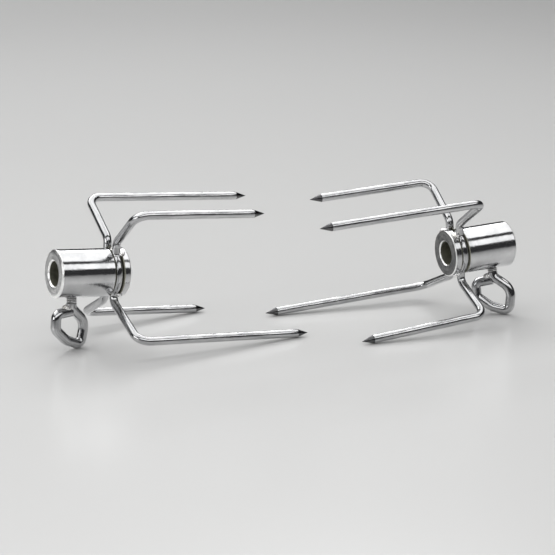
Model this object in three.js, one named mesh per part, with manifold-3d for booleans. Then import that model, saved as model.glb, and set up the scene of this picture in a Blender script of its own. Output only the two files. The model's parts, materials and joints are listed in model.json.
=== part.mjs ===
// A pair of rotisserie spit forks, lying head to tail on a flat surface.
//
// Each fork is a turned hub that slides on a spit rod, two bent rods (bows) that
// hug the hub in one groove and end in a long and a short prong each, weld beads
// that fix the bows to the hub's flange, and a thumbscrew that clamps the hub.
// Millimetres, +Z up. A fork is built in its own frame first: the hub's axis is
// local X, the bows lie in the plane x = 0, the prongs point along +X and the
// thumbscrew points down, along -Z. The finished pair stands on z = 0 with the
// middle of its bounding box over the origin.

import * as THREE from 'three';
import { mergeVertices } from 'three/addons/utils/BufferGeometryUtils.js';
import Module from 'manifold-3d';

const wasm = await Module();
wasm.setup();

// ---------------------------------------------------------------- dimensions

const GAP = 0.3;                      // clearance between neighbouring solids
const SMALLEST_DETAIL = 0.04;         // finer facets are dropped from the welds

const ROD_RADIUS = 2.5;               // 5 mm round bar, used for the bows
const LOOP_RADIUS = 3;                // 6 mm round bar, used for the finger loops
const ROD_SIDES = 14;

const HUB = {
  radius: 14,
  boreRadius: 7.25,                   // passes a 3/8 in square spit, 13.5 mm over corners
  rearX: -35.8,
  rearChamfer: { deep: 1.0, wide: 1.6 },
  rearBoreChamfer: 0.9,
  flangeRadius: 14.3,
  frontX: 7.0,
  frontChamfer: 0.6,
  frontBoreChamfer: 0.7,
  sides: 48,
};
const GROOVE = {
  halfWidth: ROD_RADIUS + GAP / 2,
  floorRadius: 9.1,
  lip: 0.45,                          // chamfer at the groove's two edges
};

const WRAP_RADIUS = GROOVE.floorRadius + GAP + ROD_RADIUS;
const NECK = {
  offset: 6.2,                        // from the hub's middle plane to a neck's centre
  bend: 6,
  flare: 4.5,                         // radius where the wrap turns up into the neck
};
const PRONG_BEND = 7.5;
const TIP_LENGTH = 7.5;

// Each prong, seen from behind the hub: y to the left, z up. neck is the distance
// from the axis at which the neck turns into the leg, corner is where the leg meets
// the prong, end is where the prong's point lies and reach is how far it is from the
// bows' plane. The left bow's lower prong opens outwards a little.
const LEFT_BOW = {
  upper: { neck: 18.5, corner: [37, 37.5], end: [37, 37.5], reach: 106.5 },
  lower: { neck: 17.5, corner: [34.7, -31.9], end: [37.5, -33.5], reach: 83.5 },
};
const RIGHT_BOW = {
  upper: { neck: 18.5, corner: [-31, 38.5], end: [-31, 38.5], reach: 82 },
  lower: { neck: 16.3, corner: [-43, -31.5], end: [-43, -31.5], reach: 110.5 },
};

const SCREW = {
  x: -23.9,                           // where the threaded hole enters the hub
  radius: 3,
  rootRadius: 2.6,
  pitch: 1,
  length: 11,
  sides: 20,
};

// The finger loop's centre line: across and down from the end of the shank, with
// the bend radius at each corner.
const LOOP_CORNERS = [
  { across: 0, down: 0, bend: 0 },
  { across: 0, down: 2.4, bend: 3.6 },
  { across: 10.4, down: 11.4, bend: 9 },
  { across: 7.6, down: 24.8, bend: 3.6 },
  { across: -3.4, down: 21.1, bend: 12 },
  { across: -11.4, down: 14.2, bend: 3.6 },
  { across: -11.2, down: 5.4, bend: 3.4 },
  { across: -3.4, down: 4.8, bend: 0 },
];

const BEAD = { x: 4.1, lift: -0.5, radii: [3.3, 4.4, 3.0] };
const LOOP_BEAD = { across: -4.2, down: 1.4, radii: [3, 2.8, 2.4] };

// Each fork's place: hub is the centre of the bows' plane, turn is the heading of
// the prongs, screwTilt is the screw hole's angle about the hub's axis, from
// straight down, shankEndZ is where the shank ends below the hub's axis, and
// loopTurn is the loop's angle about the screw's axis. Angles are in degrees.
const FORKS = [
  { id: 'a', hub: [-106, 18], turn: 3.1, screwTilt: -3, shankEndZ: -17.4, loopTurn: 18 },
  { id: 'b', hub: [106, -18], turn: 176.9, screwTilt: 10.5, shankEndZ: -16.2, loopTurn: 141 },
];

// ----------------------------------------------------------------- materials

const polishedSteel = () => new THREE.MeshStandardMaterial({ color: 0xd7d9dc, roughness: 0.08, metalness: 1 });
const turnedSteel = () => new THREE.MeshStandardMaterial({ color: 0xcfd1d3, roughness: 0.12, metalness: 1 });
const threadSteel = () => new THREE.MeshStandardMaterial({ color: 0xb4b6b8, roughness: 0.3, metalness: 1 });
const weldSteel = () => new THREE.MeshStandardMaterial({ color: 0xbdbcb8, roughness: 0.35, metalness: 1 });

// -------------------------------------------------------------- solid helpers

function toSolid(geometry) {
  const bare = geometry.index ? geometry.clone() : geometry;
  bare.deleteAttribute('normal');
  bare.deleteAttribute('uv');
  const merged = mergeVertices(bare, 1e-4);
  return new wasm.Manifold(new wasm.Mesh({
    numProp: 3,
    vertProperties: new Float32Array(merged.attributes.position.array),
    triVerts: new Uint32Array(merged.index.array),
  }));
}

function toGeometry(solid) {
  const mesh = solid.getMesh();
  const geometry = new THREE.BufferGeometry();
  geometry.setAttribute('position', new THREE.BufferAttribute(Float32Array.from(mesh.vertProperties), 3));
  geometry.setIndex(new THREE.BufferAttribute(Uint32Array.from(mesh.triVerts), 1));
  geometry.computeVertexNormals();
  return geometry;
}

function largestPiece(solid) {
  return solid.decompose().sort((a, b) => b.volume() - a.volume())[0];
}

// A body turned about local X; the profile lists [x, radius] pairs.
function turnedSolid(profile, sides) {
  const points = profile.map(([x, radius]) => new THREE.Vector2(radius, x));
  const geometry = new THREE.LatheGeometry(points, sides);
  geometry.rotateZ(-Math.PI / 2);
  return toSolid(geometry);
}

function ellipsoidSolid(center, radii) {
  const geometry = new THREE.IcosahedronGeometry(1, 2);
  geometry.scale(...radii);
  geometry.translate(...center);
  return toSolid(geometry);
}

// ------------------------------------------------------------ rod centre lines

// A centre line made of straight stretches and arcs. It is sampled piece by piece,
// so a straight stretch costs one step however long it is.
class RodPath extends THREE.Curve {
  constructor(pieces) {
    super();
    this.pieces = pieces;
    this.steps = pieces.reduce((sum, piece) => sum + piece.steps, 0);
  }

  locate(t) {
    let step = t * this.steps;
    for (const piece of this.pieces) {
      if (step <= piece.steps + 1e-9) return [piece, step / piece.steps];
      step -= piece.steps;
    }
    return [this.pieces.at(-1), 1];
  }

  getPoint(t, target = new THREE.Vector3()) {
    const [piece, along] = this.locate(t);
    return target.copy(piece.point(along));
  }

  getPointAt(u, target) {
    return this.getPoint(u, target);
  }

  getTangentAt(u, target = new THREE.Vector3()) {
    const [piece, along] = this.locate(u);
    return target.copy(piece.tangent(along));
  }
}

function straight(from, to) {
  const direction = to.clone().sub(from).normalize();
  return {
    steps: 1,
    point: (t) => from.clone().lerp(to, t),
    tangent: () => direction,
  };
}

// An arc that starts at from, heading along heading, and turns by angle towards side.
function arc(from, heading, side, radius, angle) {
  const center = from.clone().addScaledVector(side, radius);
  return {
    steps: Math.max(2, Math.ceil(THREE.MathUtils.radToDeg(angle) / 14)),
    point: (t) => center.clone()
      .addScaledVector(side, -radius * Math.cos(angle * t))
      .addScaledVector(heading, radius * Math.sin(angle * t)),
    tangent: (t) => heading.clone().multiplyScalar(Math.cos(angle * t))
      .addScaledVector(side, Math.sin(angle * t)),
  };
}

// Straight stretches through the corners, each corner rounded to its bend radius.
function roundedPieces(corners) {
  const pieces = [];
  let from = corners[0].at;
  for (let i = 1; i < corners.length - 1; i += 1) {
    const { at, bend } = corners[i];
    const heading = at.clone().sub(corners[i - 1].at).normalize();
    const next = corners[i + 1].at.clone().sub(at).normalize();
    const angle = heading.angleTo(next);
    const trim = bend * Math.tan(angle / 2);
    const start = at.clone().addScaledVector(heading, -trim);
    const side = next.clone().addScaledVector(heading, -heading.dot(next)).normalize();
    pieces.push(straight(from, start), arc(start, heading, side, bend, angle));
    from = at.clone().addScaledVector(next, trim);
  }
  pieces.push(straight(from, corners.at(-1).at));
  return pieces;
}

function rodSolid(pieces, radius) {
  const path = new RodPath(pieces);
  const section = new THREE.Shape().absarc(0, 0, radius, 0, 2 * Math.PI);
  return toSolid(new THREE.ExtrudeGeometry(section, {
    steps: path.steps,
    curveSegments: ROD_SIDES / 2,
    extrudePath: path,
    bevelEnabled: false,
  }));
}

// ------------------------------------------------------------------ one fork

function hubSolid(clearance = 0) {
  const { radius, boreRadius, rearX, rearChamfer, flangeRadius, frontX, frontChamfer, sides } = HUB;
  const body = radius + clearance;
  const flange = flangeRadius + clearance;
  const wall = GROOVE.halfWidth - clearance;
  const rear = rearX - clearance;
  const front = frontX + clearance;
  const profile = [
    [rear, boreRadius + HUB.rearBoreChamfer],
    [rear, radius - rearChamfer.wide],
    [rearX + rearChamfer.deep, body],
    [-wall - GROOVE.lip, body],
    [-wall, body - GROOVE.lip],
    [-wall, GROOVE.floorRadius + clearance],
    [wall, GROOVE.floorRadius + clearance],
    [wall, flange - GROOVE.lip],
    [wall + GROOVE.lip, flange],
    [frontX - frontChamfer, flange],
    [front, flangeRadius - frontChamfer],
    [front, boreRadius + HUB.frontBoreChamfer],
    [frontX - HUB.frontBoreChamfer, boreRadius - clearance],
    [rearX + HUB.rearBoreChamfer, boreRadius - clearance],
  ];
  profile.push(profile[0]);
  return turnedSolid(profile, sides);
}

function screwHole(fork) {
  const depth = HUB.radius + 2;
  const cutter = new THREE.CylinderGeometry(SCREW.radius + GAP, SCREW.radius + GAP, depth, SCREW.sides);
  cutter.rotateX(Math.PI / 2);
  cutter.translate(SCREW.x, 0, -depth / 2 - 2);
  cutter.rotateX(THREE.MathUtils.degToRad(fork.screwTilt));
  return toSolid(cutter);
}

function prongEnd(prong) {
  return new THREE.Vector3(prong.reach, ...prong.end);
}

// Where the round bar ends and the ground point starts.
function prongShoulder(prong) {
  const end = prongEnd(prong);
  const back = new THREE.Vector3(0, ...prong.corner).sub(end).normalize();
  return end.addScaledVector(back, TIP_LENGTH);
}

// Half of a bow, from its prong to the middle of the wrap, as corners and arcs.
// side is +1 for the left bow, up is +1 for the upper prong.
function halfBowPieces(prong, side, up) {
  const centerDistance = WRAP_RADIUS + NECK.flare;
  const flareY = NECK.offset + NECK.flare;
  const flareZ = Math.sqrt(centerDistance ** 2 - flareY ** 2);
  const wrapAngle = Math.atan2(flareZ, flareY);

  const corners = [
    { at: prongShoulder(prong) },
    { at: new THREE.Vector3(0, ...prong.corner), bend: PRONG_BEND },
    { at: new THREE.Vector3(0, side * NECK.offset, up * prong.neck), bend: NECK.bend },
    { at: new THREE.Vector3(0, side * NECK.offset, up * flareZ) },
  ];
  const inward = new THREE.Vector3(0, 0, -up);
  const outward = new THREE.Vector3(0, side, 0);
  const flare = arc(corners[3].at, inward, outward, NECK.flare, wrapAngle);

  const touch = new THREE.Vector3(0, side * Math.cos(wrapAngle), up * Math.sin(wrapAngle));
  const heading = new THREE.Vector3(0, side * Math.sin(wrapAngle), -up * Math.cos(wrapAngle));
  const towardsAxis = touch.clone().negate();
  touch.multiplyScalar(WRAP_RADIUS);
  const wrap = arc(touch, heading, towardsAxis, WRAP_RADIUS, wrapAngle);
  return [...roundedPieces(corners), flare, wrap];
}

function reversed(pieces) {
  return [...pieces].reverse().map((piece) => ({
    steps: piece.steps,
    point: (t) => piece.point(1 - t),
    tangent: (t) => piece.tangent(1 - t).clone().negate(),
  }));
}

function prongTip(prong) {
  const base = ROD_RADIUS * Math.cos(Math.PI / ROD_SIDES);
  const profile = [[-1, 0], [-1, base], [0, base], [TIP_LENGTH, 0]];
  const points = profile.map(([along, radius]) => new THREE.Vector2(radius, along));
  const geometry = new THREE.LatheGeometry(points, ROD_SIDES);
  const shoulder = prongShoulder(prong);
  const heading = prongEnd(prong).sub(shoulder).normalize();
  geometry.applyQuaternion(new THREE.Quaternion().setFromUnitVectors(new THREE.Vector3(0, 1, 0), heading));
  geometry.translate(...shoulder.toArray());
  return toSolid(geometry);
}

function bowSolid(bow, side, clearance = 0) {
  const pieces = [...halfBowPieces(bow.upper, side, 1), ...reversed(halfBowPieces(bow.lower, side, -1))];
  const rod = rodSolid(pieces, ROD_RADIUS + clearance);
  return rod.add(prongTip(bow.upper)).add(prongTip(bow.lower));
}

// A weld bead in the corner between one neck and the flange.
function beadSolid(side, up, obstacles) {
  const rim = Math.sqrt(HUB.flangeRadius ** 2 - NECK.offset ** 2);
  let bead = ellipsoidSolid([BEAD.x, side * NECK.offset, up * (rim + BEAD.lift)], BEAD.radii);
  for (const obstacle of obstacles) bead = bead.subtract(obstacle);
  return largestPiece(bead).simplify(SMALLEST_DETAIL);
}

// The threaded shank, turned about the screw's axis: a ridge for each pitch.
function shankSolid(endZ) {
  const { radius, rootRadius, pitch, length, sides } = SCREW;
  const tipZ = endZ + length;
  const profile = [[0, tipZ], [rootRadius - 0.6, tipZ], [rootRadius, tipZ - 0.6]];
  for (let z = tipZ - 0.6 - pitch / 2; z > endZ + pitch / 2; z -= pitch) {
    profile.push([radius, z], [rootRadius, z - pitch / 2]);
  }
  profile.push([rootRadius, endZ], [0, endZ]);
  const points = profile.reverse().map(([r, z]) => new THREE.Vector2(r, z));
  const geometry = new THREE.LatheGeometry(points, sides);
  geometry.rotateX(Math.PI / 2);
  geometry.translate(SCREW.x, 0, 0);
  return toSolid(geometry);
}

// The space that the shank needs, with clearance round it and below it.
function clearedShank(fork) {
  const length = -fork.shankEndZ + GAP;
  const cylinder = new THREE.CylinderGeometry(SCREW.radius + GAP, SCREW.radius + GAP, length, SCREW.sides);
  cylinder.rotateX(Math.PI / 2);
  cylinder.translate(SCREW.x, 0, -length / 2);
  return toSolid(cylinder);
}

// Maps the loop's own plane (across, down) to the screw's frame.
function loopPoint(fork, across, down) {
  const turn = THREE.MathUtils.degToRad(fork.loopTurn);
  return new THREE.Vector3(
    SCREW.x + across * Math.cos(turn),
    across * Math.sin(turn),
    fork.shankEndZ - GAP - down,
  );
}

function loopPieces(fork) {
  return roundedPieces(LOOP_CORNERS.map(({ across, down, bend }) => ({
    at: loopPoint(fork, across, down),
    bend,
  })));
}

function loopBeadSolid(fork, obstacles) {
  const center = loopPoint(fork, LOOP_BEAD.across, LOOP_BEAD.down);
  let bead = ellipsoidSolid(center.toArray(), LOOP_BEAD.radii);
  for (const obstacle of obstacles) bead = bead.subtract(obstacle);
  return largestPiece(bead).simplify(SMALLEST_DETAIL);
}

// ---------------------------------------------------------------- resting pose

// The loop's lowest point and the underside of each lower prong at its shoulder.
function contactPoints(fork) {
  const path = new RodPath(loopPieces(fork));
  const tilt = new THREE.Euler(THREE.MathUtils.degToRad(fork.screwTilt), 0, 0);
  const samples = path.getPoints(400).map((point) => point.applyEuler(tilt));
  const lowest = samples.reduce((a, b) => (b.z < a.z ? b : a)).clone();
  const contacts = [lowest.add(new THREE.Vector3(0, 0, -LOOP_RADIUS))];
  for (const { lower } of [LEFT_BOW, RIGHT_BOW]) {
    contacts.push(prongShoulder(lower).add(new THREE.Vector3(0, 0, -ROD_RADIUS)));
  }
  return contacts;
}

// Sets the fork down on its three contact points, heading along turn.
function setDown(group, fork) {
  const [loop, left, right] = contactPoints(fork);
  const up = left.clone().sub(loop).cross(right.clone().sub(loop)).normalize();
  if (up.z < 0) up.negate();
  const level = new THREE.Quaternion().setFromUnitVectors(up, new THREE.Vector3(0, 0, 1));
  const prongs = new THREE.Vector3(1, 0, 0).applyQuaternion(level);
  const swing = THREE.MathUtils.degToRad(fork.turn) - Math.atan2(prongs.y, prongs.x);
  const spin = new THREE.Quaternion().setFromAxisAngle(new THREE.Vector3(0, 0, 1), swing);
  group.quaternion.copy(spin.multiply(level));
  const [x, y] = fork.hub;
  group.position.set(x, y, -loop.applyQuaternion(group.quaternion).z);
}

// -------------------------------------------------------------------- assembly

function addPiece(group, name, solid, material) {
  const mesh = new THREE.Mesh(toGeometry(solid), material);
  mesh.name = name;
  group.add(mesh);
}

// The thumbscrew hangs from the hub's axis, in a group turned by its tilt.
function buildScrew(fork) {
  const group = new THREE.Group();
  group.rotation.x = THREE.MathUtils.degToRad(fork.screwTilt);
  const loop = loopPieces(fork);
  const obstacles = [rodSolid(loop, LOOP_RADIUS + GAP), hubSolid(GAP), clearedShank(fork)];
  addPiece(group, `fork_${fork.id}_screw_shank`, shankSolid(fork.shankEndZ), threadSteel());
  addPiece(group, `fork_${fork.id}_finger_loop`, rodSolid(loop, LOOP_RADIUS), polishedSteel());
  addPiece(group, `fork_${fork.id}_loop_weld`, loopBeadSolid(fork, obstacles), weldSteel());
  return group;
}

function buildFork(fork) {
  const group = new THREE.Group();
  const id = fork.id;
  addPiece(group, `fork_${id}_hub`, hubSolid().subtract(screwHole(fork)), turnedSteel());

  const bows = [['left', LEFT_BOW, 1], ['right', RIGHT_BOW, -1]];
  const obstacles = [hubSolid(GAP)];
  for (const [label, bow, side] of bows) {
    addPiece(group, `fork_${id}_bow_${label}`, bowSolid(bow, side), polishedSteel());
    obstacles.push(bowSolid(bow, side, GAP));
  }
  for (const [label, , side] of bows) {
    addPiece(group, `fork_${id}_bead_upper_${label}`, beadSolid(side, 1, obstacles), weldSteel());
    addPiece(group, `fork_${id}_bead_lower_${label}`, beadSolid(side, -1, obstacles), weldSteel());
  }

  group.add(buildScrew(fork));
  setDown(group, fork);
  return group;
}

const pair = new THREE.Group();
for (const fork of FORKS) pair.add(buildFork(fork));

pair.updateMatrixWorld(true);
const middle = new THREE.Box3().setFromObject(pair, true).getCenter(new THREE.Vector3());
pair.position.set(-middle.x, -middle.y, 0);

export default pair;
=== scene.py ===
import json
import math

import bmesh
import bpy
import numpy as np
from mathutils import Matrix, Vector, noise


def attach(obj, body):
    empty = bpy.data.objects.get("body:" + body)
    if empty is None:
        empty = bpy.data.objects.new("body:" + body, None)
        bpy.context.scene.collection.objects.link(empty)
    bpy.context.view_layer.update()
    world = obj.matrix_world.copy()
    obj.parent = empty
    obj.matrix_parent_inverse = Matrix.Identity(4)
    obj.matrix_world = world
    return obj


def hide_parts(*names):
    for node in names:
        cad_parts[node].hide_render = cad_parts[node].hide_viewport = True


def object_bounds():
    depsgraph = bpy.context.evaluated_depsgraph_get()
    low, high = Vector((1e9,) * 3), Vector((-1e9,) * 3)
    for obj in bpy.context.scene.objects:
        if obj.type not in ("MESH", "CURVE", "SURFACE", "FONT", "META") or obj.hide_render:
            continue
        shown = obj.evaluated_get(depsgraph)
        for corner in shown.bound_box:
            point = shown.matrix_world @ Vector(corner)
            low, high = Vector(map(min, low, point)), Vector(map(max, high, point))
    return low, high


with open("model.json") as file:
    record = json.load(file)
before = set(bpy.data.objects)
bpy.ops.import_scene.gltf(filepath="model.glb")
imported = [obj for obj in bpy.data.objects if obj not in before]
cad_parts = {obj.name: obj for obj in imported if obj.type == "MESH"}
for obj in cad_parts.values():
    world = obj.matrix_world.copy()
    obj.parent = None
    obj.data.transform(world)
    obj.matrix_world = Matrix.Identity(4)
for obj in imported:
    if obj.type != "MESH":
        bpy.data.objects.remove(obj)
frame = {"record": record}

CAD_BOX = [[float(v) for v in corner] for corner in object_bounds()]
RECORD = frame["record"]
MOUNTS = {m["name"]: m for m in RECORD["mounts"]}
JOINTS = {j["name"]: j for j in RECORD["behaviour"]["joints"]}

# ------------------------------------------------------------------ dimensions
# Millimetres, in each fork's own frame: the hub's axis is X, the bows wrap round
# the hub in the plane x = 0 and the prongs point along +X. The thumbscrew hangs
# along -Z of the screw's frame, which is the fork's frame turned about X.

MM = 0.001

HUB_RADIUS = 14.0
BORE_RADIUS = 7.25
REAR_X = -35.8
REAR_DEEP = 1.0
REAR_WIDE = 1.6
REAR_BORE_CHAMFER = 0.9
FLANGE_RADIUS = 14.3
FRONT_X = 7.0
FRONT_CHAMFER = 0.6
FRONT_BORE_CHAMFER = 0.7
GROOVE_LIP = 0.45
GROOVE_HALF = 2.62
GROOVE_FLOOR = 9.1

ROD_RADIUS = 2.5
WRAP_RADIUS = 11.75
NECK_OFFSET = 6.2
NECK_BEND = 6.0
NECK_FLARE = 4.5
PRONG_BEND = 7.5
# per side: (neck, corner, end, reach) of the upper prong and of the lower prong
BOWS = {
    "left": (1, (18.5, (37.0, 37.5), (37.0, 37.5), 106.5),
             (17.5, (34.7, -31.9), (37.5, -33.5), 83.5)),
    "right": (-1, (18.5, (-31.0, 38.5), (-31.0, 38.5), 82.0),
              (16.3, (-43.0, -31.5), (-43.0, -31.5), 110.5)),
}
TIP_LENGTH = 7.5
# the ground point: (distance from its shoulder, radius as a part of the bar's)
TIP_PROFILE = (
    (0.25, 0.975),
    (0.6, 0.93),
    (2.5, 0.675),
    (5.0, 0.345),
    (7.0, 0.085),
    (7.35, 0.035),
    (7.45, 0.012),
)

SCREW_X = -23.9
SCREW_RADIUS = 3.0
SCREW_ROOT = 2.6
SCREW_PITCH = 1.0
SCREW_LENGTH = 11.0
# the thread's section, from 0 at the root to 1 at the crest, before it is cut flat
RIDGE_TOP = 1.25
RIDGE_SLOPE = 2.5
# both ends are chamfered: how far inside the root, and the slope from there
TIP_INSET, TIP_SLOPE = 0.6, 1.0
END_INSET, END_SLOPE = 0.1, 0.8
# the screw hole: (z, radius), with a countersink at the hub's outside
HOLE_RADIUS = 3.12
HOLE_PROFILE = ((-16.0, HOLE_RADIUS + 1.9), (-13.55, HOLE_RADIUS), (-4.0, HOLE_RADIUS))

LOOP_RADIUS = 3.0
# the finger loop's centre line: (across, down, bend radius), from the shank's end
LOOP_CORNERS = (
    (0.0, -0.25, 0.0),
    (0.0, 2.4, 3.6),
    (10.4, 11.4, 9.0),
    (7.6, 24.8, 3.6),
    (-3.4, 21.1, 12.0),
    (-11.4, 14.2, 3.6),
    (-11.2, 5.4, 3.4),
    (-0.6, 4.6, 0.0),
)
# per fork: where the shank ends below the axis, and the loop's turn in degrees
SCREWS = {"a": (-17.4, 18.0), "b": (-16.2, 141.0)}
CAD_GAP = 0.3

# per fork: how far along the hub a bead's middle lies, and the bead's half sizes
BEADS = {"a": (2.3, (2.9, 3.9, 2.5)), "b": (3.4, (3.1, 4.3, 2.9))}
BEAD_OUTWARD = 0.3
BEAD_SUNK = 1.0
LOOP_WELD_ACROSS = -3.2
LOOP_WELD_DOWN = 2.3
LOOP_WELD_HALF = (3.4, 3.2, 2.7)
# a bead is a union of spheres, (centre, radius), stretched to the bead's half sizes
BEAD_LUMPS = (
    (Vector((0.0, 0.0, 0.0)), 0.72),
    (Vector((0.30, 0.16, 0.10)), 0.60),
    (Vector((-0.30, -0.20, 0.12)), 0.58),
    (Vector((0.02, -0.38, 0.0)), 0.52),
    (Vector((-0.05, 0.40, -0.05)), 0.50),
)
LOOP_LUMPS = (
    (Vector((0.0, 0.0, 0.0)), 0.80),
    (Vector((0.35, 0.05, 0.15)), 0.55),
    (Vector((-0.30, 0.1, 0.05)), 0.60),
)
# its unevenness: two noises, each (part of the bead's size, frequency)
BROAD_WAVES = (0.08, 2.2)
FINE_WAVES = (0.05, 5.0)
SEED_SHIFT = (3.1, 1.7, 2.3)
FIRST_SEEDS = {"a": 1, "b": 11}

# --------------------------------------------------------------------- fineness
# Numbers of points round each shape, distances between rows in millimetres, and the
# least number of steps in a straight stretch and in a bend.

ROD_SIDES = 48
HUB_SIDES = 256
SCREW_SIDES = 64
STRAIGHT_STEP = 4.0
STRAIGHT_LEAST = 2
ARC_STEP = 0.35
ARC_LEAST = 6
HUB_STEP = 0.6
THREAD_STEP = 0.1
FILLET_STEPS = 5
# a fillet takes at most this part of each edge beside it
FILLET_SHARE = 0.45
BLOB_DETAIL = 5
# two points of a centre line that are nearer than this count as one
SAME_POINT = 1e-4

# edges steeper than this, in degrees, are shaded sharp
HUB_SHARP = 35.0
BOW_SHARP = 24.0
LOOP_SHARP = 30.0
THREAD_SHARP = 50.0
WELD_SHARP = 60.0

# ---------------------------------------------------------------------- camera
# Metres from the middle of the CAD's footprint; the lens is in millimetres.

CAMERA_AZIMUTH = math.radians(26.34)
CAMERA_PITCH = math.radians(13.93)
CAMERA_DISTANCE = 1.0469
CAMERA_SIDE = -0.0033
CAMERA_HEIGHT = 0.2907
CAMERA_LENS = 116.76
CAMERA_SENSOR = 36
CAMERA_FAR = 50


def make_camera():
    heading = Vector((math.sin(CAMERA_AZIMUTH), math.cos(CAMERA_AZIMUTH), 0))
    right = Vector((heading.y, -heading.x, 0))
    low, high = CAD_BOX
    middle = Vector(((low[0] + high[0]) / 2, (low[1] + high[1]) / 2, 0))
    data = bpy.data.cameras.new("camera")
    data.lens = CAMERA_LENS
    data.sensor_width = CAMERA_SENSOR
    data.clip_end = CAMERA_FAR
    camera = bpy.data.objects.new("camera", data)
    camera.location = middle - heading * CAMERA_DISTANCE + right * CAMERA_SIDE
    camera.location.z = low[2] + CAMERA_HEIGHT
    camera.rotation_euler = (math.pi / 2 - CAMERA_PITCH, 0, -CAMERA_AZIMUTH)
    bpy.context.collection.objects.link(camera)
    bpy.context.scene.camera = camera


# ------------------------------------------------------------- frames of a fork


def axes_matrix(x, z, origin):
    y = z.cross(x).normalized()
    return Matrix((
        (x.x, y.x, z.x, origin.x),
        (x.y, y.y, z.y, origin.y),
        (x.z, y.z, z.z, origin.z),
        (0, 0, 0, 1),
    ))


def fork_frames(letter):
    """The frames of a fork and of its thumbscrew, from the record's mounts and joint."""
    rear = Vector(MOUNTS[f"hub_rear_face_{letter}"]["pos_m"])
    front = Vector(MOUNTS[f"hub_front_face_{letter}"]["pos_m"])
    joint = JOINTS[f"loop_{letter}_turn"]
    screw = Vector(joint["axis"]).normalized()
    x = (front - rear).normalized()
    end_z = SCREWS[letter][0]
    origin = Vector(joint["pos_m"]) - x * (SCREW_X * MM) - screw * (end_z * MM)
    z = front - x * (FRONT_X * MM) - origin
    z = (z - x * z.dot(x)).normalized()
    screw = (screw - x * screw.dot(x)).normalized()
    return axes_matrix(x, z, origin), axes_matrix(x, screw, origin)


# ------------------------------------------------------------------- materials

# sockets of a colour mix: its two inputs and its output
MIX_FIRST, MIX_SECOND, MIX_RESULT = 6, 7, 2
# the drawn lines are noise on a cylinder of radius 1, this tall for a metre of bar
DRAWN_STRETCH = 14.0
# the turned rings are noise along a line, this long for a metre of radius
RING_STRETCH = 1000.0


class Graph:
    """A principled material, with helpers that make and wire its nodes."""

    def __init__(self, name, metallic):
        self.material = bpy.data.materials.new(name)
        self.material.use_nodes = True
        self.tree = self.material.node_tree
        self.shader = self.tree.nodes["Principled BSDF"]
        self.shader.inputs["Metallic"].default_value = metallic

    def node(self, kind, **values):
        node = self.tree.nodes.new(kind)
        for key, value in values.items():
            if key in node.inputs:
                node.inputs[key].default_value = value
            else:
                setattr(node, key, value)
        return node

    def link(self, source, target):
        self.tree.links.new(source, target)

    def coordinates(self, kind="Object", scale=(1, 1, 1)):
        source = self.node("ShaderNodeTexCoord")
        mapping = self.node("ShaderNodeMapping")
        mapping.inputs["Scale"].default_value = scale
        self.link(source.outputs[kind], mapping.inputs["Vector"])
        return mapping.outputs["Vector"]

    def noise(self, vector, scale, detail, rough=0.55):
        node = self.node("ShaderNodeTexNoise", Scale=scale, Detail=detail, Roughness=rough)
        self.link(vector, node.inputs["Vector"])
        return node.outputs["Fac"]

    def length(self, vector):
        node = self.node("ShaderNodeVectorMath", operation="LENGTH")
        self.link(vector, node.inputs[0])
        return node.outputs["Value"]

    def ramp(self, value, from_range, to_range):
        """The value, taken from one range to the other and clamped."""
        node = self.node("ShaderNodeMapRange")
        numbers = (*from_range, *to_range)
        for key, number in zip(("From Min", "From Max", "To Min", "To Max"), numbers):
            node.inputs[key].default_value = number
        self.link(value, node.inputs["Value"])
        return node.outputs["Result"]

    def math(self, operation, *operands):
        node = self.node("ShaderNodeMath", operation=operation)
        for socket, value in zip(node.inputs, operands):
            if isinstance(value, (int, float)):
                socket.default_value = value
            else:
                self.link(value, socket)
        return node.outputs["Value"]

    def mix_colour(self, factor, first, second):
        """A mix of two colours, each an (r, g, b) or a socket."""
        node = self.node("ShaderNodeMix", data_type="RGBA")
        self.link(factor, node.inputs["Factor"])
        for socket, colour in ((MIX_FIRST, first), (MIX_SECOND, second)):
            if isinstance(colour, tuple):
                node.inputs[socket].default_value = (*colour, 1)
            else:
                self.link(colour, node.inputs[socket])
        return node.outputs[MIX_RESULT]

    def bump(self, height, strength, distance, normal=None):
        node = self.node("ShaderNodeBump", Strength=strength, Distance=distance)
        self.link(height, node.inputs["Height"])
        if normal is not None:
            self.link(normal, node.inputs["Normal"])
        return node.outputs["Normal"]

    def finish(self, colour, roughness, normal):
        self.link(colour, self.shader.inputs["Base Color"])
        self.link(roughness, self.shader.inputs["Roughness"])
        self.link(normal, self.shader.inputs["Normal"])
        return self.material


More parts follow.
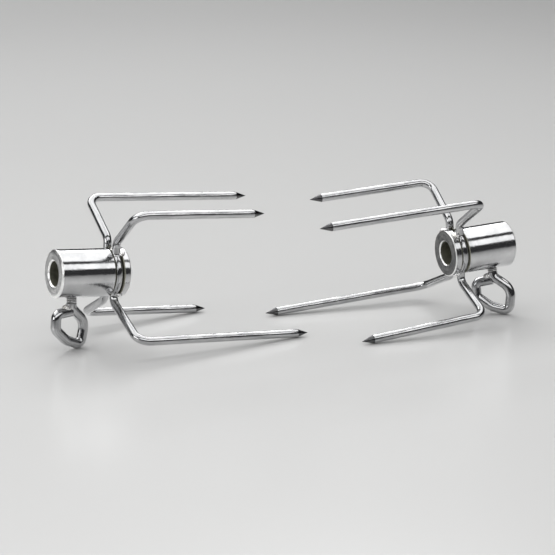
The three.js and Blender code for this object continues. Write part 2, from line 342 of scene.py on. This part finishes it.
def polished_bar():
    """Drawn and polished round bar: lines along it, a few smears and a slight ripple."""
    g = Graph("polished_bar", metallic=1.0)
    place = g.coordinates()
    uv = g.node("ShaderNodeSeparateXYZ")
    g.link(g.coordinates("UV", (2 * math.pi, 1, 1)), uv.inputs["Vector"])
    wrapped = g.node("ShaderNodeCombineXYZ")
    g.link(g.math("COSINE", uv.outputs["X"]), wrapped.inputs["X"])
    g.link(g.math("SINE", uv.outputs["X"]), wrapped.inputs["Y"])
    g.link(g.math("MULTIPLY", uv.outputs["Y"], DRAWN_STRETCH), wrapped.inputs["Z"])
    drawn = g.noise(wrapped.outputs["Vector"], scale=5.0, detail=5.0, rough=0.7)
    smear = g.noise(place, scale=95.0, detail=3.0)
    ripple = g.noise(place, scale=240.0, detail=2.0)
    roughness = g.math("ADD", g.ramp(smear, (0.35, 0.7), (0.04, 0.11)),
                       g.ramp(drawn, (0.35, 0.7), (0.0, 0.06)))
    colour = g.mix_colour(g.ramp(drawn, (0.38, 0.62), (0, 1)),
                          (0.58, 0.58, 0.58), (0.34, 0.345, 0.355))
    lines = g.bump(drawn, strength=0.22, distance=0.0003)
    normal = g.bump(ripple, strength=0.05, distance=0.0002, normal=lines)
    return g.finish(colour, roughness, normal)


def ground_cone():
    """Ground points of the prongs: painted near-black as a painted dark reflection, with rings left
    by the wheel.
    """
    g = Graph("ground_cone", metallic=1.0)
    rings = g.noise(g.coordinates("Object", (2600, 60, 60)), scale=1.0, detail=3.0)
    patch = g.noise(g.coordinates(), scale=380.0, detail=2.0)
    roughness = g.ramp(rings, (0.3, 0.7), (0.06, 0.16))
    # painted reflection: the points' near-black colour stands in for a dark surround reflected in
    # them
    colour = g.mix_colour(g.ramp(patch, (0.3, 0.7), (0, 1)),
                          (0.13, 0.13, 0.13), (0.06, 0.06, 0.065))
    return g.finish(colour, roughness, g.bump(rings, strength=0.15, distance=0.0001))


def turned_body():
    """The hub's outside: polished after turning, with fine lines round it."""
    g = Graph("turned_body", metallic=1.0)
    rings = g.noise(g.coordinates("Object", (3800, 18, 18)), scale=1.0, detail=3.0)
    smear = g.noise(g.coordinates(), scale=70.0, detail=4.0)
    ripple = g.noise(g.coordinates("Object", (1.6, 1, 1)), scale=330.0, detail=4.0, rough=0.7)
    roughness = g.math("ADD", g.ramp(smear, (0.35, 0.7), (0.05, 0.13)),
                       g.ramp(rings, (0.3, 0.7), (0.0, 0.07)))
    colour = g.mix_colour(g.ramp(smear, (0.3, 0.75), (0, 1)),
                          (0.62, 0.62, 0.625), (0.42, 0.425, 0.43))
    lines = g.bump(rings, strength=0.12, distance=0.00008)
    normal = g.bump(ripple, strength=0.24, distance=0.0003, normal=lines)
    return g.finish(colour, roughness, normal)


def turned_face(name, light, dark):
    """An end face of the hub: rings round the bore, left from turning."""
    g = Graph(name, metallic=1.0)
    combine = g.node("ShaderNodeCombineXYZ")
    radius = g.length(g.coordinates("Object", (0, 1, 1)))
    g.link(g.math("MULTIPLY", radius, RING_STRETCH), combine.inputs["X"])
    rings = g.noise(combine.outputs["Vector"], scale=1.0, detail=4.0, rough=0.65)
    smear = g.noise(g.coordinates(), scale=240.0, detail=5.0, rough=0.7)
    roughness = g.math("ADD", g.ramp(smear, (0.35, 0.7), (0.20, 0.34)),
                       g.ramp(rings, (0.3, 0.7), (0.0, 0.10)))
    darkness = g.math("ADD", g.ramp(rings, (0.35, 0.65), (0, 0.45)),
                      g.ramp(smear, (0.4, 0.62), (0, 0.55)))
    colour = g.mix_colour(darkness, light, dark)
    return g.finish(colour, roughness, g.bump(rings, strength=0.8, distance=0.0004))


def painted_highlight_edge():
    """Chamfers and rims: smooth, and painted bright as a painted highlight along the edges."""
    g = Graph("painted_highlight_edge", metallic=1.0)
    smear = g.noise(g.coordinates(), scale=260.0, detail=4.0)
    roughness = g.ramp(smear, (0.3, 0.7), (0.22, 0.40))
    # painted highlight: near-white colour on the chamfers and rims, brighter than the body's steel
    colour = g.mix_colour(g.ramp(smear, (0.3, 0.7), (0, 1)),
                          (0.95, 0.95, 0.94), (0.80, 0.80, 0.79))
    return g.finish(colour, roughness, g.bump(smear, strength=0.3, distance=0.0003))


def bored_wall():
    """The bore and the groove: dull and faintly olive as drilled, and painted darker than the
    outside as painted shade in these recesses.
    """
    g = Graph("bored_wall", metallic=0.85)
    rings = g.noise(g.coordinates("Object", (1500, 25, 25)), scale=1.0, detail=3.0)
    stain = g.noise(g.coordinates(), scale=210.0, detail=4.0)
    roughness = g.ramp(rings, (0.3, 0.7), (0.38, 0.56))
    # painted shade: the bore's and the groove's colour is darker than the outside's
    colour = g.mix_colour(g.ramp(stain, (0.3, 0.7), (0, 1)),
                          (0.37, 0.36, 0.29), (0.20, 0.20, 0.165))
    return g.finish(colour, roughness, g.bump(rings, strength=0.4, distance=0.0002))


def weld_metal():
    """Weld beads: bright and wavy, with dark pits and a trace of heat colour."""
    g = Graph("weld_metal", metallic=1.0)
    place = g.coordinates()
    wave = g.noise(place, scale=620.0, detail=4.0)
    pits = g.noise(place, scale=1500.0, detail=3.0)
    heat = g.noise(place, scale=240.0, detail=2.0)
    roughness = g.ramp(pits, (0.35, 0.7), (0.06, 0.24))
    heated = g.mix_colour(g.ramp(heat, (0.45, 0.75), (0, 1)),
                          (0.90, 0.90, 0.90), (0.74, 0.71, 0.66))
    colour = g.mix_colour(g.ramp(pits, (0.62, 0.70), (0, 1)), heated, (0.12, 0.115, 0.11))
    waves = g.bump(wave, strength=0.7, distance=0.0009)
    normal = g.bump(pits, strength=0.4, distance=0.00015, normal=waves)
    return g.finish(colour, roughness, normal)


def rolled_thread():
    """The screw's thread: crests painted bright as a painted highlight over dull roots painted
    near-black as painted shade, slightly dirty.
    """
    g = Graph("rolled_thread", metallic=1.0)
    shift = g.node("ShaderNodeVectorMath", operation="SUBTRACT")
    shift.inputs[1].default_value = (SCREW_X * MM, 0, 0)
    g.link(g.coordinates("Object", (1, 1, 0)), shift.inputs[0])
    radius = g.length(shift.outputs["Vector"])
    crest = g.ramp(radius, (SCREW_ROOT * MM, SCREW_RADIUS * MM), (0, 1))
    dirt = g.noise(g.coordinates(), scale=900.0, detail=3.0)
    # painted highlight on the crests and painted shade in the roots: the colour follows the radius
    # from root to crest
    lit_crest_level = g.math("MULTIPLY", g.math("MULTIPLY", crest, crest),
                   g.ramp(dirt, (0.3, 0.7), (0.75, 1.1)))
    roughness = g.ramp(lit_crest_level, (0, 1), (0.34, 0.24))
    colour = g.mix_colour(lit_crest_level, (0.03, 0.03, 0.028), (0.95, 0.95, 0.95))
    return g.finish(colour, roughness, g.bump(dirt, strength=0.25, distance=0.0001))


BAR = polished_bar()
CONE = ground_cone()
BODY = turned_body()
REAR_FACE = turned_face("turned_face", (0.80, 0.80, 0.795), (0.36, 0.365, 0.37))
# the front face is a painted shade copy of the turned face: the same finish, painted much darker
# than the rear face
FRONT_FACE = turned_face("painted_shade_face", (0.24, 0.24, 0.236), (0.05, 0.052, 0.055))
EDGE = painted_highlight_edge()
BORE = bored_wall()
WELD = weld_metal()
THREAD = rolled_thread()

BOW_MATERIALS = (BAR, CONE)
ON_BAR, ON_CONE = range(2)
HUB_MATERIALS = (BODY, REAR_FACE, BORE, EDGE, FRONT_FACE)
ON_BODY, ON_REAR, ON_BORE, ON_EDGE, ON_FRONT = range(5)

# --------------------------------------------------------------- mesh building


def shade(mesh, sharp):
    """Smooth shading, with edges steeper than sharp degrees left sharp."""
    mesh.polygons.foreach_set("use_smooth", np.ones(len(mesh.polygons), dtype=bool))
    mesh.set_sharp_from_angle(angle=math.radians(sharp))


def make_object(name, points, faces, materials, matrix, sharp,
                face_materials=None, uv=None, upright=True):
    """A mesh object from points in millimetres, in the frame given by matrix.

    An upright object keeps the scene's axes, with its points turned instead, so that
    its box is no larger than its shape. The others keep their frame's axes, because
    their materials are laid out along them."""
    mesh = bpy.data.meshes.new(name)
    points = np.asarray(points) * MM
    if upright:
        points = points @ np.array(matrix.to_3x3()).T
        matrix = Matrix.Translation(matrix.translation)
    mesh.from_pydata([tuple(p) for p in points], [], [tuple(f) for f in faces])
    for material in materials:
        mesh.materials.append(material)
    if face_materials is not None:
        mesh.polygons.foreach_set("material_index", np.asarray(face_materials, dtype=np.int32))
    if uv is not None:
        layer = mesh.uv_layers.new(name="UVMap")
        layer.data.foreach_set("uv", np.asarray(uv, dtype=np.float32).ravel())
    shade(mesh, sharp)
    mesh.update()
    obj = bpy.data.objects.new(name, mesh)
    obj.matrix_world = matrix
    bpy.context.collection.objects.link(obj)
    return obj


def turns(count):
    """Angles of points spread evenly round a circle."""
    return [2 * math.pi * k / count for k in range(count)]


def grid_faces(rows, columns):
    """Quads of a tube of rows rings with columns points each, and their (ring, column)."""
    faces = []
    places = []
    for r in range(rows - 1):
        low = r * columns
        high = low + columns
        for c in range(columns):
            d = (c + 1) % columns
            faces.append((low + c, low + d, high + d, high + c))
            places.append((r, c))
    return faces, places


def end_caps(rows, columns):
    """The two faces that close such a tube."""
    last = (rows - 1) * columns
    return [tuple(reversed(range(columns))), tuple(range(last, last + columns))]


def straight(start, end):
    count = max(STRAIGHT_LEAST, int((end - start).length / STRAIGHT_STEP))
    heading = (end - start).normalized()
    return [(start.lerp(end, i / count), heading) for i in range(count + 1)]


def arc(start, heading, side, radius, angle):
    count = max(ARC_LEAST, int(radius * angle / ARC_STEP))
    middle = start + side * radius
    steps = []
    for i in range(count + 1):
        a = angle * i / count
        point = middle - side * (radius * math.cos(a)) + heading * (radius * math.sin(a))
        steps.append((point, heading * math.cos(a) + side * math.sin(a)))
    return steps


def rounded(corners):
    """Straight stretches through the corners, each rounded to its bend radius."""
    steps = []
    start = corners[0][0]
    for i in range(1, len(corners) - 1):
        at, bend = corners[i]
        heading = (at - corners[i - 1][0]).normalized()
        after = (corners[i + 1][0] - at).normalized()
        angle = heading.angle(after)
        trim = bend * math.tan(angle / 2)
        side = (after - heading * heading.dot(after)).normalized()
        steps += straight(start, at - heading * trim)
        steps += arc(at - heading * trim, heading, side, bend, angle)
        start = at + after * trim
    return steps + straight(start, corners[-1][0])


def swept(steps, radii):
    """Points, faces and UVs of a round bar along steps, closed at both ends.

    steps holds (point, heading) pairs and radii one radius for each. The UVs are
    turns round the bar and metres along it."""
    rings = []
    lengths = []
    travelled = 0.0
    normal = steps[0][1].orthogonal().normalized()
    previous = steps[0][0]
    angles = turns(ROD_SIDES)
    for (point, heading), radius in zip(steps, radii):
        normal = (normal - heading * heading.dot(normal)).normalized()
        other = heading.cross(normal)
        travelled += (point - previous).length
        previous = point
        lengths.append(travelled)
        rings += [point + (normal * math.cos(a) + other * math.sin(a)) * radius for a in angles]
    faces, places = grid_faces(len(steps), ROD_SIDES)
    uv = []
    for row, column in places:
        left = column / ROD_SIDES
        right = (column + 1) / ROD_SIDES
        low = lengths[row] * MM
        high = lengths[row + 1] * MM
        uv += [(left, low), (right, low), (right, high), (left, high)]
    uv += [(0.0, 0.0)] * (2 * ROD_SIDES)
    return rings, faces + end_caps(len(steps), ROD_SIDES), uv


def without_repeats(steps):
    kept = [steps[0]]
    for step in steps[1:]:
        if (step[0] - kept[-1][0]).length > SAME_POINT:
            kept.append(step)
    return kept


def backwards(steps):
    return [(point, -heading) for point, heading in reversed(steps)]


# -------------------------------------------------------------------- the bows


def half_bow(prong, side, up):
    """From the prong's shoulder to the middle of the wrap."""
    neck, corner, end, reach = prong
    corner = Vector((0, *corner))
    end = Vector((reach, *end))
    distance = WRAP_RADIUS + NECK_FLARE
    flare_y = NECK_OFFSET + NECK_FLARE
    flare_z = math.sqrt(distance ** 2 - flare_y ** 2)
    wrap = math.atan2(flare_z, flare_y)
    corners = [
        (end + (corner - end).normalized() * TIP_LENGTH, 0),
        (corner, PRONG_BEND),
        (Vector((0, side * NECK_OFFSET, up * neck)), NECK_BEND),
        (Vector((0, side * NECK_OFFSET, up * flare_z)), 0),
    ]
    steps = rounded(corners)
    steps += arc(corners[3][0], Vector((0, 0, -up)), Vector((0, side, 0)), NECK_FLARE, wrap)
    touch = Vector((0, side * math.cos(wrap), up * math.sin(wrap)))
    heading = Vector((0, side * math.sin(wrap), -up * math.cos(wrap)))
    return steps + arc(touch * WRAP_RADIUS, heading, -touch, WRAP_RADIUS, wrap)


def point_steps(shoulder, heading):
    """The ground point: from the bar's shoulder to a slightly blunt tip."""
    steps = [(shoulder + heading * along, heading) for along, _ in TIP_PROFILE]
    return steps, [ROD_RADIUS * part for _, part in TIP_PROFILE]


def bow_parts(side, upper, lower):
    first = half_bow(upper, side, 1)
    second = backwards(half_bow(lower, side, -1))
    steps = without_repeats(first + second)
    radii = [ROD_RADIUS] * len(steps)
    start_steps, start_radii = point_steps(steps[0][0], -steps[0][1])
    end_steps, end_radii = point_steps(steps[-1][0], steps[-1][1])
    points, faces, uv = swept(backwards(start_steps) + steps + end_steps,
                              start_radii[::-1] + radii + end_radii)
    cone_rows = len(start_steps)
    bar_rows = len(points) // ROD_SIDES - 1 - 2 * cone_rows
    kinds = [ON_CONE] * cone_rows + [ON_BAR] * bar_rows + [ON_CONE] * cone_rows
    kinds = [kind for kind in kinds for _ in range(ROD_SIDES)]
    return points, faces, uv, kinds + [ON_CONE, ON_CONE]


def add_bow(letter, label, matrix):
    side, upper, lower = BOWS[label]
    points, faces, uv, kinds = bow_parts(side, upper, lower)
    bow = make_object(f"bow_{label}_{letter}_bar", points, faces, BOW_MATERIALS, matrix,
                      BOW_SHARP, kinds, uv)
    return bow


# --------------------------------------------------------------------- the hub


def filleted(profile):
    """The closed profile with each corner rounded; rows are (x, radius, material)."""
    rows = []
    count = len(profile)
    for i, (x, radius, size, kind) in enumerate(profile):
        here = Vector((x, radius))
        before = Vector(profile[i - 1][:2]) - here
        after = Vector(profile[(i + 1) % count][:2]) - here
        size = min(size, before.length * FILLET_SHARE, after.length * FILLET_SHARE)
        start = here + before.normalized() * size
        end = here + after.normalized() * size
        previous = profile[i - 1][3]
        for k in range(FILLET_STEPS + 1):
            t = k / FILLET_STEPS
            point = start * (1 - t) ** 2 + here * (2 * t * (1 - t)) + end * t ** 2
            rows.append((point.x, point.y, kind if t > 0.5 else previous))
    return rows


def hub_rows():
    """The lathe profile: corners as (x, radius, fillet, material of what follows)."""
    profile = [
        (REAR_X, BORE_RADIUS + REAR_BORE_CHAMFER, 0.25, ON_REAR),
        (REAR_X, HUB_RADIUS - REAR_WIDE, 0.6, ON_EDGE),
        (REAR_X + REAR_DEEP, HUB_RADIUS, 0.5, ON_BODY),
        (-GROOVE_HALF - GROOVE_LIP, HUB_RADIUS, 0.1, ON_BORE),
        (-GROOVE_HALF, HUB_RADIUS - GROOVE_LIP, 0.2, ON_BORE),
        (-GROOVE_HALF, GROOVE_FLOOR, 0.4, ON_BORE),
        (GROOVE_HALF, GROOVE_FLOOR, 0.4, ON_BORE),
        (GROOVE_HALF, FLANGE_RADIUS - GROOVE_LIP, 0.2, ON_BORE),
        (GROOVE_HALF + GROOVE_LIP, FLANGE_RADIUS, 0.1, ON_BODY),
        (FRONT_X - FRONT_CHAMFER, FLANGE_RADIUS, 0.3, ON_EDGE),
        (FRONT_X, FLANGE_RADIUS - FRONT_CHAMFER, 0.3, ON_FRONT),
        (FRONT_X, BORE_RADIUS + FRONT_BORE_CHAMFER, 0.2, ON_EDGE),
        (FRONT_X - FRONT_BORE_CHAMFER, BORE_RADIUS, 0.2, ON_BORE),
        (REAR_X + REAR_BORE_CHAMFER, BORE_RADIUS, 0.2, ON_EDGE),
    ]
    rows = filleted(profile)
    dense = []
    for (x, radius, kind), (next_x, next_radius, _) in zip(rows, rows[1:] + rows[:1]):
        dense.append((x, radius, kind))
        count = int(math.hypot(next_x - x, next_radius - radius) / HUB_STEP)
        for k in range(1, count):
            t = k / count
            dense.append((x + (next_x - x) * t, radius + (next_radius - radius) * t, kind))
    return dense


def hub_mesh():
    """Points, faces and face materials of the profile turned about the X axis."""
    rows = hub_rows()
    points = []
    angles = turns(HUB_SIDES)
    for x, radius, _ in rows:
        points += [(x, radius * math.cos(a), radius * math.sin(a)) for a in angles]
    faces = []
    kinds = []
    for r, (_, _, kind) in enumerate(rows):
        low = r * HUB_SIDES
        high = (r + 1) % len(rows) * HUB_SIDES
        for c in range(HUB_SIDES):
            d = (c + 1) % HUB_SIDES
            faces.append((low + c, high + c, high + d, low + d))
            kinds.append(kind)
    return points, faces, kinds


def turned_on_screw(heights, radius_at):
    """A closed solid about the screw's axis, with the radius radius_at(z, angle)."""
    points = []
    for z in heights:
        for a in turns(SCREW_SIDES):
            radius = radius_at(z, a)
            points.append((SCREW_X + radius * math.cos(a), radius * math.sin(a), z))
    faces, _ = grid_faces(len(heights), SCREW_SIDES)
    return points, faces + end_caps(len(heights), SCREW_SIDES)


def cut_screw_hole(hub, screw_matrix):
    radii = dict(HOLE_PROFILE)
    points, faces = turned_on_screw(list(radii), lambda z, _: radii[z])
    cutter = make_object("cutter", points, faces, [BORE], screw_matrix, HUB_SHARP, upright=False)
    modifier = hub.modifiers.new("hole", "BOOLEAN")
    modifier.operation = "DIFFERENCE"
    modifier.solver = "EXACT"
    modifier.object = cutter
    depsgraph = bpy.context.evaluated_depsgraph_get()
    hub.data = bpy.data.meshes.new_from_object(hub.evaluated_get(depsgraph))
    hub.modifiers.clear()
    bpy.data.objects.remove(cutter)
    shade(hub.data, HUB_SHARP)


def add_hub(letter, matrix, screw_matrix):
    points, faces, kinds = hub_mesh()
    hub = make_object(f"hub_{letter}_turned", points, faces, HUB_MATERIALS, matrix,
                      HUB_SHARP, kinds, upright=False)
    cut_screw_hole(hub, screw_matrix)
    return hub


# ------------------------------------------------------------------- the welds


def lump_reach(direction, lumps):
    """How far the union of spheres reaches from the origin along direction."""
    best = 0.0
    for centre, radius in lumps:
        along = direction.dot(centre)
        square = along * along - centre.length_squared + radius * radius
        if square > 0:
            best = max(best, along + math.sqrt(square))
    return best


def blob_mesh(half, lumps, seed):
    """A lumpy closed blob round the origin: the lumps' union, stretched to half."""
    bm = bmesh.new()
    bmesh.ops.create_icosphere(bm, subdivisions=BLOB_DETAIL, radius=1.0)
    shift = Vector([seed * step for step in SEED_SHIFT])
    broad, broad_scale = BROAD_WAVES
    fine, fine_scale = FINE_WAVES
    points = []
    for vertex in bm.verts:
        direction = vertex.co.normalized()
        reach = lump_reach(direction, lumps)
        reach *= (1 + broad * noise.noise(direction * broad_scale + shift)
                  + fine * noise.noise(direction * fine_scale + shift))
        p = direction * reach
        points.append((p.x * half[0], p.y * half[1], p.z * half[2]))
    faces = [tuple(v.index for v in face.verts) for face in bm.faces]
    bm.free()
    return points, faces


def add_bead(letter, label, up, matrix, seed):
    side = BOWS[label][0]
    rim = math.sqrt(FLANGE_RADIUS ** 2 - NECK_OFFSET ** 2)
    lumps = [(Vector((c.x, c.y * side, c.z * up)), r) for c, r in BEAD_LUMPS]
    along, half = BEADS[letter]
    centre = (along, side * (NECK_OFFSET + BEAD_OUTWARD), up * (rim - BEAD_SUNK))
    points, faces = blob_mesh(half, lumps, seed)
    points = [tuple(c + v for c, v in zip(centre, point)) for point in points]
    name = "upper" if up > 0 else "lower"
    bead = make_object(f"bead_{name}_{label}_{letter}_weld", points, faces, [WELD], matrix,
                       WELD_SHARP)
    return bead


# -------------------------------------------------------------- the thumbscrew


def thread_radius(z, turn, low, high):
    """The thread's radius at height z and angle turn, with both ends chamfered."""
    phase = ((z - SCREW_PITCH * turn / (2 * math.pi)) / SCREW_PITCH) % 1.0
    ridge = max(0.0, min(1.0, RIDGE_TOP - RIDGE_SLOPE * abs(phase - 0.5)))
    radius = SCREW_ROOT + (SCREW_RADIUS - SCREW_ROOT) * ridge
    limit_tip = SCREW_ROOT - TIP_INSET + (high - z) * TIP_SLOPE
    limit_end = SCREW_ROOT - END_INSET + (z - low) * END_SLOPE
    return min(radius, limit_tip, limit_end)


def add_shank(letter, matrix):
    low = SCREWS[letter][0]
    high = low + SCREW_LENGTH
    count = int(SCREW_LENGTH / THREAD_STEP)
    heights = [low + (high - low) * r / count for r in range(count + 1)]
    points, faces = turned_on_screw(heights, lambda z, a: thread_radius(z, a, low, high))
    shank = make_object(f"shank_{letter}_thread", points, faces, [THREAD], matrix,
                        THREAD_SHARP, upright=False)
    return shank


def loop_place(letter, across, down):
    """A point in the plane of the finger loop, measured from the shank's end."""
    end_z, turn = SCREWS[letter]
    a = math.radians(turn)
    return Vector((SCREW_X + across * math.cos(a), across * math.sin(a), end_z - CAD_GAP - down))


def add_loop(letter, matrix):
    corners = [(loop_place(letter, across, down), bend) for across, down, bend in LOOP_CORNERS]
    steps = without_repeats(rounded(corners))
    points, faces, uv = swept(steps, [LOOP_RADIUS] * len(steps))
    loop = make_object(f"loop_{letter}_bar", points, faces, [BAR], matrix, LOOP_SHARP, uv=uv)
    return loop


def add_loop_weld(letter, matrix, seed):
    turn = math.radians(SCREWS[letter][1])
    centre = loop_place(letter, LOOP_WELD_ACROSS, LOOP_WELD_DOWN)
    points, faces = blob_mesh(LOOP_WELD_HALF, LOOP_LUMPS, seed)
    points = [(centre.x + x * math.cos(turn) - y * math.sin(turn),
               centre.y + x * math.sin(turn) + y * math.cos(turn),
               centre.z + z) for x, y, z in points]
    weld = make_object(f"loop_{letter}_weld", points, faces, [WELD], matrix, WELD_SHARP)
    return weld


# -------------------------------------------------------------------- assembly


def build_fork(letter):
    matrix, screw_matrix = fork_frames(letter)
    hub = add_hub(letter, matrix, screw_matrix)
    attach(hub, f"fork_{letter}")
    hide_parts(f"fork_{letter}_hub")
    seed = FIRST_SEEDS[letter]
    for label in BOWS:
        bow = add_bow(letter, label, matrix)
        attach(bow, f"fork_{letter}")
        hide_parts(f"fork_{letter}_bow_{label}")
        for up, name in ((1, "upper"), (-1, "lower")):
            seed += 1
            bead = add_bead(letter, label, up, matrix, seed)
            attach(bead, f"fork_{letter}")
            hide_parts(f"fork_{letter}_bead_{name}_{label}")
    shank = add_shank(letter, screw_matrix)
    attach(shank, f"screw_{letter}")
    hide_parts(f"fork_{letter}_screw_shank")
    loop = add_loop(letter, screw_matrix)
    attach(loop, f"loop_{letter}")
    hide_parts(f"fork_{letter}_finger_loop")
    weld = add_loop_weld(letter, screw_matrix, seed + 1)
    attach(weld, f"loop_{letter}")
    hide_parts(f"fork_{letter}_loop_weld")


# ------------------------------------------------------------ floor and lights
# Metres and watts.

FLOOR_HALF = 6.0
FLOOR_DROP = 0.0002
FORKS_MIDDLE = (0, 0, 0.04)
# name, place, aim, width, depth, power
SOFTBOXES = (
    ("overhead", (0.0, 0.62, 1.05), (0.0, 0.62, 0.0), 2.4, 1.95, 26),
    ("front", (0.0, -0.88, 0.84), FORKS_MIDDLE, 2.2, 0.55, 6.5),
    ("side", (-1.35, -0.25, 0.42), FORKS_MIDDLE, 0.9, 0.5, 3.5),
    ("far", (0.3, 2.9, 2.2), (0.3, 3.1, 0.0), 3.6, 1.6, 95),
)
# lamps over the floor's edges, hidden from reflections: name, x, y, width, depth
FLOOR_LAMPS = (
    ("left_floor", -4.0, 0.0, 1.8, 5.0),
    ("right_floor", 4.0, 0.0, 1.8, 5.0),
    ("near_floor", 0.0, -4.0, 5.0, 1.8),
)
FLOOR_LAMP_HEIGHT = 1.7
FLOOR_LAMP_POWER = 55


def make_floor():
    mesh = bpy.data.meshes.new("floor")
    z = CAD_BOX[0][2] - FLOOR_DROP
    corners = [(x * FLOOR_HALF, y * FLOOR_HALF, z) for x, y in ((-1, -1), (1, -1), (1, 1), (-1, 1))]
    mesh.from_pydata(corners, [], [(0, 1, 2, 3)])
    g = Graph("floor", metallic=0.0)
    g.shader.inputs["Base Color"].default_value = (0.56, 0.56, 0.555, 1)
    g.shader.inputs["Roughness"].default_value = 0.2
    g.shader.inputs["Specular IOR Level"].default_value = 0.32
    mesh.materials.append(g.material)
    floor = bpy.data.objects.new("floor", mesh)
    bpy.context.collection.objects.link(floor)


def add_softbox(name, location, target, width, depth, power):
    data = bpy.data.lights.new(name, "AREA")
    data.shape = "RECTANGLE"
    data.size = width
    data.size_y = depth
    data.energy = power
    light = bpy.data.objects.new(name, data)
    light.location = location
    aim = Vector(target) - Vector(location)
    light.rotation_euler = aim.to_track_quat("-Z", "Y").to_euler()
    light.visible_camera = False
    bpy.context.collection.objects.link(light)
    return light


def make_lights():
    for softbox in SOFTBOXES:
        add_softbox(*softbox)
    for name, x, y, width, depth in FLOOR_LAMPS:
        lamp = add_softbox(name, (x, y, FLOOR_LAMP_HEIGHT), (x, y, 0.0), width, depth,
                           FLOOR_LAMP_POWER)
        lamp.visible_glossy = False
    world = bpy.data.worlds.new("studio")
    world.use_nodes = True
    background = world.node_tree.nodes["Background"]
    background.inputs["Color"].default_value = (0.045, 0.045, 0.047, 1)
    background.inputs["Strength"].default_value = 1.0
    bpy.context.scene.world = world
    bpy.context.scene.view_settings.view_transform = "Standard"


make_camera()
for fork_letter in ("a", "b"):
    build_fork(fork_letter)
make_floor()
make_lights()
